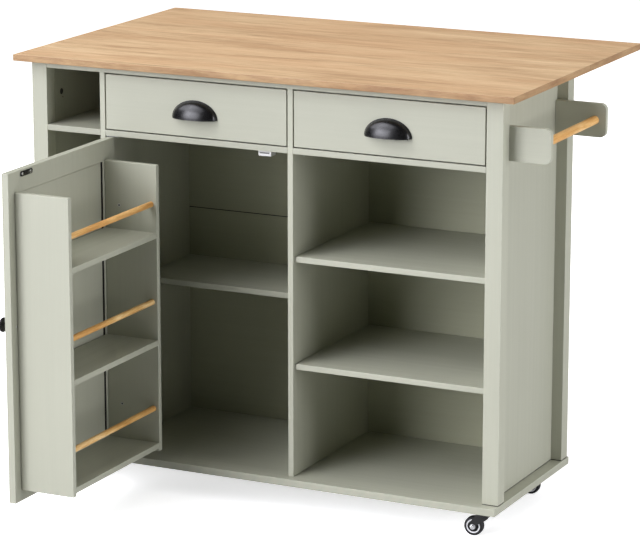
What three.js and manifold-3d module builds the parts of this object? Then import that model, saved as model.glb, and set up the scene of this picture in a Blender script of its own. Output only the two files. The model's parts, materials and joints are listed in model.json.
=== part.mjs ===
// Rolling kitchen island with a drop leaf at the back, two inset drawers, a panelled door that
// carries a rack of three shallow shelves, open shelving and a towel rail on the right-hand side.
//
// Millimetres, +Z up. The cabinet is drawn in its own coordinates: x = 0 at the right end of the
// bottom board, y = 0 at its front edge, z = 0 at its top face. The outer group then moves the
// whole island so that the origin lies on the floor, under the middle of its bounding box.
// It is drawn as in use: leaf raised, door open by a quarter turn, drawers shut.

import * as THREE from "three";
import { mergeVertices } from "three/addons/utils/BufferGeometryUtils.js";
import Module from "manifold-3d";

const wasm = await Module();
wasm.setup();

// ---------------------------------------------------------------- driving dimensions
const GAP = 0.2; // between two boards that meet

const BOARD_W = 1098; // bottom board, left to right
const BOARD_D = 414; // bottom board, front to back
const BOARD_T = 16;
const BODY_H = 848.2; // bottom board to worktop underside

const POST_W = 36;
const POST_D = 33.5;
const POST_IN = 1.5; // post's outer side, in from the board's end
const FRONT = 21.5; // front plane of posts, rails, drawers and dividers
const BACK = 407.5; // back plane of the rear posts

const PANEL_T = 12; // dividers, shelves and side panels
const SIDE_OUT = 25.5; // side panel's outer face, in from the board's end
const BACK_Y = 393.6; // back panel's front face
const BACK_T = 5;
const BACK_SEAM = 471.1; // height where the two back panels meet

const DIV_L = -929.5; // left face of the left divider
const DIV_M = -483.5; // left face of the middle divider

const RAIL_Z = 835; // underside of the top front rail
const DECK_TOP = 711.5; // floor of the drawers and of the cubby
const DECK_T = 12.5;

const SHELF_HI = 479.3; // tops of the right-hand shelves
const SHELF_LO = 246.9;
const SHELF_T = 12.3;
const SHELF_SET = 8; // right-hand shelves stand back from the front plane
const MID_TOP = 360.3; // middle shelf
const MID_Y = 166; // set back to clear the rack on the closed door

const TOP_T = 14;
const TOP_L = -1129; // worktop's left and right ends
const TOP_R = 31;
const TOP_Y0 = -2.5;
const SEAM = 415.35; // axis of the leaf hinge, front to back
const LEAF_Y1 = 721.8;
const TOP_Z = BODY_H;

const HINGE_R = 4; // leaf hinge knuckle
const HINGE_Z = BODY_H - 5.9; // its axis
const HINGE_X0 = -788;
const HINGE_X1 = -310;

const FIT = 2.2; // gap round drawer fronts and the door
const FRONT_T = 15;
const DRAWER_Z0 = DECK_TOP + FIT;
const DRAWER_Z1 = RAIL_Z - FIT;
const TRAY_Z0 = 722;
const TRAY_Z1 = 812;
const TRAY_Y1 = 360;
const TRAY_T = 12;
const SLIDE_W = 13; // side clearance that the runners fill

const DOOR_T = 15.5;
const DOOR_Z0 = 2.2;
const DOOR_Z1 = 696.8;
const DOOR_X = -915.3; // outer face when open by a quarter turn
const DOOR_HINGE_Y = 27.5; // hinge edge when open
const DOOR_FREE_Y = -402.1; // free edge when open
const DOOR_AXIS = [-912.3, 24.5];
const FRAME_W = 45; // stiles and rails
const DOOR_PANEL_T = 6;

const RACK_D = 125;
const RACK_Y0 = -379.4;
const RACK_Y1 = -4.4;
const RACK_Z0 = 26.5;
const RACK_Z1 = 654.2;
const RACK_T = 12;
const DOWEL_D = 12.5;

const TOWEL_X = 88; // outer end of the towel brackets
const TOWEL_Z0 = 720.5;
const TOWEL_Z1 = 792.2;
const TOWEL_R = 13;
const TOWEL_T = 12;
const ROD_D = 18;
const ROD_X = 64;
const ROD_Z = 757;

const SUP_T = 12; // leaf supports
const SUP_REACH = 248;
const SUP_Z1 = 847.4;
const SUP_AXIS_IN = 50.3; // hinge axis, in from the board's end
const SUP_AXIS_Y = 402.0;
const SUP_R = 3;

const CASTER_H = 54;
const WHEEL_D = 41;
const WHEEL_W = 17;
const TRAIL = 19;
const CASTER_IN = 38;
const CASTER_Y = [31, 342];

const FLOOR = -BOARD_T - CASTER_H;

// ---------------------------------------------------------------- materials
const paint = () =>
  new THREE.MeshStandardMaterial({ color: 0xc2c4b6, roughness: 0.55, metalness: 0 });
const wood = () =>
  new THREE.MeshStandardMaterial({ color: 0xcda77c, roughness: 0.5, metalness: 0 });
const dowel = () =>
  new THREE.MeshStandardMaterial({ color: 0xdcaa68, roughness: 0.5, metalness: 0 });
const blackMetal = () =>
  new THREE.MeshStandardMaterial({ color: 0x1a1a1b, roughness: 0.35, metalness: 0.7 });
const zinc = () =>
  new THREE.MeshStandardMaterial({ color: 0xa9abad, roughness: 0.35, metalness: 0.9 });
const rubber = () =>
  new THREE.MeshStandardMaterial({ color: 0x1c1c1c, roughness: 0.7, metalness: 0 });

// ---------------------------------------------------------------- helpers
const cabinet = new THREE.Group();

function put(name, geometry, material, parent = cabinet) {
  const mesh = new THREE.Mesh(geometry, material);
  mesh.name = name;
  parent.add(mesh);
  return mesh;
}

// A box from its low and high corners, as bare geometry in place.
function slab(x0, x1, y0, y1, z0, z1) {
  return new THREE.BoxGeometry(x1 - x0, y1 - y0, z1 - z0).translate(
    (x0 + x1) / 2,
    (y0 + y1) / 2,
    (z0 + z1) / 2,
  );
}

function board(name, x0, x1, y0, y1, z0, z1, material = paint(), parent = cabinet) {
  const mesh = new THREE.Mesh(new THREE.BoxGeometry(x1 - x0, y1 - y0, z1 - z0), material);
  mesh.name = name;
  mesh.position.set((x0 + x1) / 2, (y0 + y1) / 2, (z0 + z1) / 2);
  parent.add(mesh);
  return mesh;
}

// A shape drawn in (y, z), run along x from x0 to x1.
function acrossX(shape, x0, x1, segments = 12) {
  return new THREE.ExtrudeGeometry(shape, {
    depth: x1 - x0,
    bevelEnabled: false,
    curveSegments: segments,
  })
    .rotateX(Math.PI / 2)
    .rotateZ(Math.PI / 2)
    .translate(x0, 0, 0);
}

// A shape drawn in (x, z), run along y from y0 to y1.
function acrossY(shape, y0, y1, segments = 12) {
  return new THREE.ExtrudeGeometry(shape, {
    depth: y1 - y0,
    bevelEnabled: false,
    curveSegments: segments,
  })
    .rotateX(Math.PI / 2)
    .translate(0, y1, 0);
}

function outline(points) {
  const s = new THREE.Shape();
  points.forEach(([a, b], i) => (i ? s.lineTo(a, b) : s.moveTo(a, b)));
  s.closePath();
  return s;
}

function rod(axis, radius, from, to, a, b, segments = 24) {
  const g = new THREE.CylinderGeometry(radius, radius, to - from, segments);
  if (axis === "x") return g.rotateZ(Math.PI / 2).translate((from + to) / 2, a, b);
  if (axis === "y") return g.translate(a, (from + to) / 2, b);
  return g.rotateX(Math.PI / 2).translate(a, b, (from + to) / 2);
}

function solid(geometry) {
  const bare = geometry.index ? geometry.toNonIndexed() : geometry.clone();
  bare.deleteAttribute("normal");
  bare.deleteAttribute("uv");
  const merged = mergeVertices(bare, 1e-3);
  return new wasm.Manifold(
    new wasm.Mesh({
      numProp: 3,
      vertProperties: merged.attributes.position.array,
      triVerts: new Uint32Array(merged.index.array),
    }),
  );
}

function shell(made) {
  const m = made.getMesh();
  const g = new THREE.BufferGeometry();
  const points = new Float32Array((m.vertProperties.length / m.numProp) * 3);
  for (let i = 0; i < points.length / 3; i++)
    for (let k = 0; k < 3; k++) points[3 * i + k] = m.vertProperties[m.numProp * i + k];
  g.setAttribute("position", new THREE.BufferAttribute(points, 3));
  g.setIndex(new THREE.BufferAttribute(new Uint32Array(m.triVerts), 1));
  g.computeVertexNormals();
  return g;
}

const join = (...parts) => parts.slice(1).reduce((a, b) => a.add(solid(b)), solid(parts[0]));
const cut = (body, ...tools) => tools.reduce((a, b) => a.subtract(solid(b)), body);

// ---------------------------------------------------------------- base, posts and walls
board("bottom_board", -BOARD_W, 0, 0, BOARD_D, -BOARD_T, 0);

for (const [side, x0] of [
  ["left", -BOARD_W + POST_IN],
  ["right", -POST_IN - POST_W],
]) {
  board(`post_front_${side}`, x0, x0 + POST_W, FRONT, FRONT + POST_D, GAP, BODY_H - GAP);
  board(`post_back_${side}`, x0, x0 + POST_W, BACK - POST_D, BACK, GAP, BODY_H - GAP);
}
const SIDE_Y0 = FRONT + POST_D + GAP;
const SIDE_Y1 = BACK - POST_D - GAP;
board("side_panel_right", -SIDE_OUT - PANEL_T, -SIDE_OUT, SIDE_Y0, SIDE_Y1, GAP, BODY_H - GAP);
board(
  "side_panel_left",
  -BOARD_W + SIDE_OUT,
  -BOARD_W + SIDE_OUT + PANEL_T,
  SIDE_Y0,
  SIDE_Y1,
  GAP,
  BODY_H - GAP,
);

const IN_L = -BOARD_W + POST_IN + POST_W + GAP; // inside of the left wall
const IN_R = -POST_IN - POST_W - GAP; // inside of the right wall
const IN_BACK = BACK_Y - GAP;

board("back_panel_lower", IN_L, IN_R, BACK_Y, BACK_Y + BACK_T, GAP, BACK_SEAM - GAP);
board("back_panel_upper", IN_L, IN_R, BACK_Y, BACK_Y + BACK_T, BACK_SEAM + GAP, BODY_H - GAP);

const RAIL_D = 70;
board("top_front_rail", IN_L, IN_R, FRONT, FRONT + RAIL_D, RAIL_Z, BODY_H - GAP);

// The dividers are notched at the front so that the rail runs over them.
for (const [name, x] of [
  ["divider_left", DIV_L],
  ["divider_middle", DIV_M],
]) {
  const profile = outline([
    [FRONT, GAP],
    [IN_BACK, GAP],
    [IN_BACK, BODY_H - GAP],
    [FRONT + RAIL_D + GAP, BODY_H - GAP],
    [FRONT + RAIL_D + GAP, RAIL_Z - GAP],
    [FRONT, RAIL_Z - GAP],
  ]);
  put(name, acrossX(profile, x, x + PANEL_T), paint());
}

// ---------------------------------------------------------------- decks and shelves
const COL_M = [DIV_L + PANEL_T + GAP, DIV_M - GAP];
const COL_R = [DIV_M + PANEL_T + GAP, IN_R];
const COL_C = [IN_L, DIV_L - GAP];
board("cubby_shelf", ...COL_C, FRONT, IN_BACK, DECK_TOP - DECK_T, DECK_TOP);
board("deck_middle", ...COL_M, FRONT, IN_BACK, DECK_TOP - DECK_T, DECK_TOP);
board("deck_right", ...COL_R, FRONT, IN_BACK, DECK_TOP - DECK_T, DECK_TOP);
board("middle_shelf", ...COL_M, MID_Y, IN_BACK, MID_TOP - SHELF_T, MID_TOP);
board("right_shelf_upper", ...COL_R, FRONT + SHELF_SET, IN_BACK, SHELF_HI - SHELF_T, SHELF_HI);
board("right_shelf_lower", ...COL_R, FRONT + SHELF_SET, IN_BACK, SHELF_LO - SHELF_T, SHELF_LO);

// ---------------------------------------------------------------- worktop, leaf and their hinge
board("worktop_main", TOP_L, TOP_R, TOP_Y0, SEAM - 0.25, TOP_Z, TOP_Z + TOP_T, wood());
board("worktop_leaf", TOP_L, TOP_R, SEAM + 0.25, LEAF_Y1, TOP_Z, TOP_Z + TOP_T, wood());

// A long knuckle hinge under the seam. Odd knuckles belong to the fixed flap, even ones to the
// flap screwed to the leaf, which also carries the pin.
{
  const count = 9;
  const pitch = (HINGE_X1 - HINGE_X0) / count;
  const flapZ0 = HINGE_Z + 4.4;
  const flapZ1 = HINGE_Z + 5.6;
  let fixed = solid(slab(HINGE_X0, HINGE_X1, SEAM - 14, SEAM - 4.3, flapZ0, flapZ1));
  let moving = solid(slab(HINGE_X0, HINGE_X1, SEAM + 4.3, SEAM + 28, flapZ0, flapZ1));
  const bores = [];
  for (let i = 0; i < count; i++) {
    const a = HINGE_X0 + i * pitch + (i ? 0.25 : 0);
    const b = HINGE_X0 + (i + 1) * pitch - (i < count - 1 ? 0.25 : 0);
    const knuckle = rod("x", HINGE_R, a, b, SEAM, HINGE_Z, 14);
    if (i % 2) {
      moving = moving
        .add(solid(knuckle))
        .add(solid(slab(a, b, SEAM + 0.3, SEAM + 4.6, HINGE_Z, flapZ1)));
    } else {
      fixed = fixed
        .add(solid(knuckle))
        .add(solid(slab(a, b, SEAM - 4.6, SEAM - 0.3, HINGE_Z, flapZ1)));
      bores.push(rod("x", 2.3, a - 1, b + 1, SEAM, HINGE_Z, 10));
    }
  }
  fixed = cut(fixed, ...bores);
  moving = moving.add(solid(rod("x", 1.9, HINGE_X0, HINGE_X1, SEAM, HINGE_Z, 10)));
  put("leaf_hinge_fixed", shell(fixed), zinc());
  put("leaf_hinge_moving", shell(moving), zinc());
}

// ---------------------------------------------------------------- drawers
// The cup pull is a quarter ellipsoid shell, open underneath for the fingers.
function cupPull() {
  const w = 52;
  const h = 38;
  const d = 23.8;
  const wall = 2.2;
  const outer = new THREE.SphereGeometry(1, 24, 14).scale(w, d, h);
  const inner = new THREE.SphereGeometry(1, 24, 14).scale(w - wall, d - wall, h - wall);
  const keep = slab(-60, 60, -40, 0, 0, 60);
  const box = solid(keep);
  const body = solid(outer).intersect(box).subtract(solid(inner));
  // a flat foot round the arch, against the drawer front
  const foot = new THREE.Shape();
  foot.absellipse(0, 0, w + 1.6, h + 1.6, 0, Math.PI, false, 0);
  foot.closePath();
  const hole = new THREE.Shape();
  hole.absellipse(0, 0, w - wall - 2, h - wall - 2, 0, Math.PI, false, 0);
  hole.closePath();
  const ring = solid(acrossY(foot, -1.6, 0, 14)).subtract(
    solid(acrossY(hole, -4, 2, 14).translate(0, 0, -1)),
  );
  return body.add(ring);
}

for (const [side, x0, x1] of [
  ["left", DIV_L + PANEL_T, DIV_M],
  ["right", DIV_M + PANEL_T, -POST_IN - POST_W],
]) {
  board(`drawer_${side}_front`, x0 + FIT, x1 - FIT, FRONT, FRONT + FRONT_T, DRAWER_Z0, DRAWER_Z1);

  const a = x0 + SLIDE_W;
  const b = x1 - SLIDE_W;
  const y0 = FRONT + FRONT_T + GAP;
  const tray = join(
    slab(a, a + TRAY_T, y0, TRAY_Y1, TRAY_Z0, TRAY_Z1),
    slab(b - TRAY_T, b, y0, TRAY_Y1, TRAY_Z0, TRAY_Z1),
    slab(a + 1, b - 1, TRAY_Y1 - TRAY_T, TRAY_Y1, TRAY_Z0, TRAY_Z1),
    slab(a + 6, b - 6, y0, TRAY_Y1 - 1, TRAY_Z0 + 4, TRAY_Z0 + 9),
  );
  put(`drawer_${side}_tray`, shell(tray), paint());

  const mid = (x0 + x1) / 2;
  put(`drawer_${side}_pull`, shell(cupPull()), blackMetal()).position.set(mid, FRONT - GAP, 753.5);

  // Channel runners, screwed to the walls of the bay, open towards the tray.
  const channel = (x, s) =>
    outline([
      [x, 750],
      [x + s * 11.6, 750],
      [x + s * 11.6, 755],
      [x + s * 10.4, 755],
      [x + s * 10.4, 751.2],
      [x + s * 1.2, 751.2],
      [x + s * 1.2, 783.8],
      [x + s * 10.4, 783.8],
      [x + s * 10.4, 780],
      [x + s * 11.6, 780],
      [x + s * 11.6, 785],
      [x, 785],
    ]);
  put(`runner_${side}_a`, acrossY(channel(x0 + GAP, 1), 45, 385), zinc());
  put(`runner_${side}_b`, acrossY(channel(x1 - GAP, -1), 45, 385), zinc());
}

// ---------------------------------------------------------------- door and its rack
const DOOR_IN = DOOR_X + DOOR_T;
{
  const frame = outline([
    [DOOR_FREE_Y, DOOR_Z0],
    [DOOR_HINGE_Y, DOOR_Z0],
    [DOOR_HINGE_Y, DOOR_Z1],
    [DOOR_FREE_Y, DOOR_Z1],
  ]);
  frame.holes.push(
    outline([
      [DOOR_FREE_Y + FRAME_W, DOOR_Z0 + FRAME_W],
      [DOOR_FREE_Y + FRAME_W, DOOR_Z1 - FRAME_W],
      [DOOR_HINGE_Y - FRAME_W, DOOR_Z1 - FRAME_W],
      [DOOR_HINGE_Y - FRAME_W, DOOR_Z0 + FRAME_W],
    ]),
  );
  // Blind sockets in the top and bottom edges take the pivot pins.
  const body = cut(
    solid(acrossX(frame, DOOR_X, DOOR_IN)),
    rod("z", 2.75, DOOR_Z1 - 12, DOOR_Z1 + 2, ...DOOR_AXIS, 16),
    rod("z", 2.75, DOOR_Z0 - 2, DOOR_Z0 + 12, ...DOOR_AXIS, 16),
  );
  put("door_frame", shell(body), paint());
}
const PANEL_X = DOOR_X + 5;
board(
  "door_panel",
  PANEL_X,
  PANEL_X + DOOR_PANEL_T,
  DOOR_FREE_Y + FRAME_W + GAP,
  DOOR_HINGE_Y - FRAME_W - GAP,
  DOOR_Z0 + FRAME_W + GAP,
  DOOR_Z1 - FRAME_W - GAP,
);

// Pivot hinges: a plate on the deck above and on the board below, each with a pin in the door.
{
  const [ax, ay] = DOOR_AXIS;
  put(
    "door_hinge_upper",
    shell(
      join(
        slab(ax - 4.6, ax + 26, ay - 2.4, ay + 7, 697.9, 698.8),
        rod("z", 2.5, 686, 698.4, ax, ay, 16),
      ),
    ),
    zinc(),
  );
  put(
    "door_hinge_lower",
    shell(join(slab(ax - 4.6, ax + 26, ay - 2.4, ay + 7, 0.2, 1.1), rod("z", 2.5, 0.6, 13, ax, ay, 16))),
    zinc(),
  );
}

// Door knob: a mushroom turned about the screw that holds it.
{
  const profile = [
    [0, 0],
    [7.5, 0],
    [7.5, 1.2],
    [5.2, 4],
    [5.2, 8],
    [9.5, 11.5],
    [14.4, 13.4],
    [15.5, 15.8],
    [14.9, 18.4],
    [11.5, 20.4],
    [6, 21.4],
    [0, 21.7],
  ].map(([r, h]) => new THREE.Vector2(r, h));
  put("door_knob", new THREE.LatheGeometry(profile, 20).rotateZ(Math.PI / 2), blackMetal()).position.set(
    DOOR_X - GAP,
    -381.5,
    376,
  );
}

const RACK_X0 = DOOR_IN + GAP;
const RACK_X1 = RACK_X0 + RACK_D;
board("rack_end_free", RACK_X0, RACK_X1, RACK_Y0, RACK_Y0 + RACK_T, RACK_Z0, RACK_Z1);
board("rack_end_hinge", RACK_X0, RACK_X1, RACK_Y1 - RACK_T, RACK_Y1, RACK_Z0, RACK_Z1);
const RACK_SHELVES = [
  ["upper", 496.6, 569.5],
  ["middle", 261.5, 356.5],
  ["lower", 33, 121],
];
for (const [name, z, zd] of RACK_SHELVES) {
  board(
    `rack_shelf_${name}`,
    RACK_X0,
    RACK_X1,
    RACK_Y0 + RACK_T + GAP,
    RACK_Y1 - RACK_T - GAP,
    z,
    z + RACK_T,
  );
  put(
    `rack_dowel_${name}`,
    rod(
      "y",
      DOWEL_D / 2,
      RACK_Y0 + RACK_T + GAP,
      RACK_Y1 - RACK_T - GAP,
      RACK_X1 - 12.5,
      zd,
      16,
    ),
    dowel(),
  );
}

// ---------------------------------------------------------------- towel rail
function towelBracket(y0) {
  const x0 = -SIDE_OUT + GAP;
  const s = new THREE.Shape();
  s.moveTo(x0, TOWEL_Z0);
  s.lineTo(TOWEL_X - TOWEL_R, TOWEL_Z0);
  s.absarc(TOWEL_X - TOWEL_R, TOWEL_Z0 + TOWEL_R, TOWEL_R, -Math.PI / 2, 0, false);
  s.lineTo(TOWEL_X, TOWEL_Z1 - TOWEL_R);
  s.absarc(TOWEL_X - TOWEL_R, TOWEL_Z1 - TOWEL_R, TOWEL_R, 0, Math.PI / 2, false);
  s.lineTo(x0, TOWEL_Z1);
  s.closePath();
  return acrossY(s, y0, y0 + TOWEL_T, 6);
}
const TB0 = FRONT + POST_D + 0.3;
const TB1 = BACK - POST_D - 0.3 - TOWEL_T;
put("towel_bracket_front", towelBracket(TB0), paint());
put("towel_bracket_rear", towelBracket(TB1), paint());
put("towel_rail", rod("y", ROD_D / 2, TB0 + TOWEL_T + GAP, TB1 - GAP, ROD_X, ROD_Z, 20), dowel());

// ---------------------------------------------------------------- leaf supports
// Swing plates behind the back panel, drawn folded flat. Each turns about a vertical pin.
for (const [side, s, xa] of [
  ["right", -1, -SUP_AXIS_IN],
  ["left", 1, -BOARD_W + SUP_AXIS_IN],
]) {
  const ya = SUP_AXIS_Y;
  const near = xa + s * 3.5;
  const far = xa + s * SUP_REACH;
  const plate = acrossY(
    outline([
      [near, SUP_Z1],
      [far, SUP_Z1],
      [far, SUP_Z1 - 92],
      [near, SUP_Z1 - 170],
    ]),
    ya + 0.3,
    ya + 0.3 + SUP_T,
  );
  const lo = 700;
  const hi = 832;
  const m0 = 732.4;
  const m1 = 799.6;
  const web = s < 0 ? slab(near - 2, xa, ya + 0.6, ya + 2.6, m0, m1) : slab(xa, near + 2, ya + 0.6, ya + 2.6, m0, m1);
  const moving = cut(
    join(plate, rod("z", SUP_R, m0, m1, xa, ya, 14), web),
    rod("z", 1.9, m0 - 1, m1 + 1, xa, ya, 10),
  );
  put(`leaf_support_${side}`, shell(moving), paint());

  const out = xa - s * 12; // flap towards the post
  const flap = slab(Math.min(xa, out), Math.max(xa, out), ya - 3.1, ya - 2, lo, hi);
  const relief = slab(xa - 3.6, xa + 3.6, ya - 3.6, ya + 4, m0 - 0.4, m1 + 0.4);
  const fixed = cut(
    join(rod("z", SUP_R, lo, hi, xa, ya, 14), flap),
    relief,
  ).add(solid(rod("z", 1.5, lo + 2, hi - 2, xa, ya, 10)));
  put(`support_hinge_${side}`, shell(fixed), zinc());
}

// ---------------------------------------------------------------- casters
// heading: the way the wheel trails from the swivel, in degrees from +X towards +Y.
const CASTERS = [
  ["front_right", -CASTER_IN, CASTER_Y[0], 184.7],
  ["back_right", -CASTER_IN, CASTER_Y[1], 184.7],
  ["front_left", -BOARD_W + CASTER_IN, CASTER_Y[0], 184.7],
  ["back_left", -BOARD_W + CASTER_IN, CASTER_Y[1], 184.7],
];
for (const [place, x, y, heading] of CASTERS) {
  const group = new THREE.Group();
  group.position.set(x, y, FLOOR);
  group.rotation.z = (heading * Math.PI) / 180;
  cabinet.add(group);

  const top = CASTER_H - 2.4; // room for the mounting plate above
  const zw = WHEEL_D / 2;
  const leg = new THREE.Shape();
  leg.moveTo(-15, top - 5.5);
  leg.lineTo(13.5, top - 5.5);
  leg.lineTo(TRAIL + 7, zw + 6);
  leg.absarc(TRAIL, zw, 7.5, 0.6, -2.2, true);
  leg.lineTo(-2, zw + 15);
  leg.lineTo(-15, top - 9);
  leg.closePath();
  const half = WHEEL_W / 2 + 1.6;
  const legs = [-1, 1].map((k) =>
    acrossY(leg, k > 0 ? half : -half - 2, k > 0 ? half + 2 : -half, 5),
  );
  const crown = slab(-15, 13.5, -half - 2, half + 2, top - 7.5, top - 5);
  const race = rod("z", 14.5, top - 6, top, 0, 0, 20);
  const axle = rod("y", 2.6, -half - 3.4, half + 3.4, TRAIL, zw, 10);
  const nuts = [-1, 1].map((k) =>
    rod("y", 4.6, k > 0 ? half + 1.5 : -half - 4.6, k > 0 ? half + 4.6 : -half - 1.5, TRAIL, zw, 6),
  );
  put(`caster_fork_${place}`, shell(join(race, crown, ...legs, axle, ...nuts)), blackMetal(), group);

  const r = WHEEL_D / 2;
  const w = WHEEL_W / 2;
  const tyre = [
    [3.0, -w - 0.9],
    [7.2, -w - 0.9],
    [7.6, -w + 1.2],
    [13.6, -w + 1.2],
    [14.6, -w],
    [r - 1.8, -w],
    [r, -w + 4.2],
    [r, w - 4.2],
    [r - 1.8, w],
    [14.6, w],
    [13.6, w - 1.2],
    [7.6, w - 1.2],
    [7.2, w + 0.9],
    [3.0, w + 0.9],
    [3.0, -w - 0.9],
  ].map(([a, b]) => new THREE.Vector2(a, b));
  put(`caster_wheel_${place}`, new THREE.LatheGeometry(tyre, 20), rubber(), group).position.set(
    TRAIL,
    0,
    zw,
  );
}

// ---------------------------------------------------------------- whole island
const X_MID = (TOP_L + TOWEL_X) / 2;
const Y_MID = (DOOR_FREE_Y + LEAF_Y1) / 2;
cabinet.position.set(-X_MID, -Y_MID, -FLOOR);
const island = new THREE.Group();
island.add(cabinet);
export default island;
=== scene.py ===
import json
import math

import bmesh
import bpy
from mathutils import Matrix, Vector


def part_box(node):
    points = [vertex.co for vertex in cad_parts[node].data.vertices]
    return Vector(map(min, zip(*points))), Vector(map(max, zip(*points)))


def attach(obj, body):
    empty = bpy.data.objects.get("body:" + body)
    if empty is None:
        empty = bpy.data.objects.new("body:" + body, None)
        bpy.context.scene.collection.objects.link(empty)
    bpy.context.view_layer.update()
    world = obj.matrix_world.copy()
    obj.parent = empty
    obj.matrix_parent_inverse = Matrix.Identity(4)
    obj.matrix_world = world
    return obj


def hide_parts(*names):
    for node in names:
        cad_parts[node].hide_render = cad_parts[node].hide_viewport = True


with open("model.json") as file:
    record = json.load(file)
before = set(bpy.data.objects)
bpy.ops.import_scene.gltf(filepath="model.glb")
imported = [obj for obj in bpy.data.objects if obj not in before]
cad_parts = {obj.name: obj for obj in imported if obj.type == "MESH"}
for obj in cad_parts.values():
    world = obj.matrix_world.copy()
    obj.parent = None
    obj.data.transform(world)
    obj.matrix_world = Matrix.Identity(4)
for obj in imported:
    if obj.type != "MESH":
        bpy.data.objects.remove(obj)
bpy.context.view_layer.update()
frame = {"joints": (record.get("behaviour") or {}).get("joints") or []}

SCENE = bpy.context.scene

# Everything is drawn in millimetres in the cabinet's own coordinates: x = 0 at the right end of
# the bottom board, y = 0 at its front edge, z = 0 at its top face. M0 takes them to the frame.
M0 = Matrix.Translation((0.5205, -0.15985, 0.070)) @ Matrix.Diagonal((0.001, 0.001, 0.001, 1.0))


# ------------------------------------------------------------------ materials
class Mat:
    def __init__(self, name):
        self.m = bpy.data.materials.new(name)
        self.m.use_nodes = True
        self.t = self.m.node_tree
        self.t.nodes.clear()
        self.out = self.t.nodes.new("ShaderNodeOutputMaterial")
        self.b = self.t.nodes.new("ShaderNodeBsdfPrincipled")
        self.link(self.b.outputs[0], self.out.inputs["Surface"])

    def link(self, a, b):
        self.t.links.new(a, b)

    def put(self, socket, value):
        if isinstance(value, bpy.types.NodeSocket):
            self.link(value, socket)
        else:
            socket.default_value = value

    def math(self, op, a, b=0.5, c=0.5, clamp=False):
        n = self.t.nodes.new("ShaderNodeMath")
        n.operation = op
        n.use_clamp = clamp
        for s, v in zip(n.inputs, (a, b, c)):
            self.put(s, v)
        return n.outputs[0]

    def vmath(self, op, a, b=(0, 0, 0)):
        n = self.t.nodes.new("ShaderNodeVectorMath")
        n.operation = op
        self.put(n.inputs[0], a)
        if op == "SCALE":
            self.put(n.inputs["Scale"], b)
        elif op != "LENGTH":
            self.put(n.inputs[1], b)
        return n.outputs["Value"] if op == "LENGTH" else n.outputs[0]

    def coords(self, spread=23.0):
        """Object coordinates in metres, moved by a different amount for each piece."""
        tc = self.t.nodes.new("ShaderNodeTexCoord")
        oi = self.t.nodes.new("ShaderNodeObjectInfo")
        r = self.math("MULTIPLY", oi.outputs["Random"], spread)
        c = self.t.nodes.new("ShaderNodeCombineXYZ")
        self.link(r, c.inputs[0])
        self.link(self.math("MULTIPLY", r, 1.7), c.inputs[1])
        self.link(self.math("MULTIPLY", r, 0.6), c.inputs[2])
        self.random = oi.outputs["Random"]
        self.normal = tc.outputs["Normal"]
        return self.vmath("ADD", tc.outputs["Object"], c.outputs[0])

    def noise(self, vec, scale=(1, 1, 1), detail=2.0, rough=0.5, dist=0.0):
        v = self.vmath("MULTIPLY", vec, scale)
        n = self.t.nodes.new("ShaderNodeTexNoise")
        n.inputs["Scale"].default_value = 1.0
        n.inputs["Detail"].default_value = detail
        n.inputs["Roughness"].default_value = rough
        n.inputs["Distortion"].default_value = dist
        self.link(v, n.inputs["Vector"])
        return n.outputs[0]

    def ramp(self, fac, stops):
        n = self.t.nodes.new("ShaderNodeValToRGB")
        while len(n.color_ramp.elements) < len(stops):
            n.color_ramp.elements.new(0.5)
        for e, (p, c) in zip(n.color_ramp.elements, stops):
            e.position = p
            e.color = (*c, 1.0) if len(c) == 3 else c
        self.put(n.inputs[0], fac)
        return n.outputs[0]

    def mix(self, fac, a, b, blend="MIX"):
        n = self.t.nodes.new("ShaderNodeMix")
        n.data_type = "RGBA"
        n.blend_type = blend
        self.put(n.inputs[0], fac)
        for s, v in ((n.inputs[6], a), (n.inputs[7], b)):
            self.put(s, (*v, 1.0) if isinstance(v, tuple) and len(v) == 3 else v)
        return n.outputs[2]

    def attr(self, name):
        n = self.t.nodes.new("ShaderNodeAttribute")
        n.attribute_name = name
        return n.outputs["Fac"]

    def bump(self, height, strength, distance):
        n = self.t.nodes.new("ShaderNodeBump")
        n.inputs["Strength"].default_value = strength
        n.inputs["Distance"].default_value = distance
        self.link(height, n.inputs["Height"])
        self.link(n.outputs[0], self.b.inputs["Normal"])

    def maprange(self, v, a, b, c, d):
        n = self.t.nodes.new("ShaderNodeMapRange")
        for s, x in zip(n.inputs, (v, a, b, c, d)):
            self.put(s, x)
        return n.outputs[0]


def lin(r, g, b):
    """An sRGB colour, 0 to 255, as linear values."""

    def f(v):
        v /= 255.0
        return v / 12.92 if v <= 0.04045 else ((v + 0.055) / 1.055) ** 2.4

    return (f(r), f(g), f(b))


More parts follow.
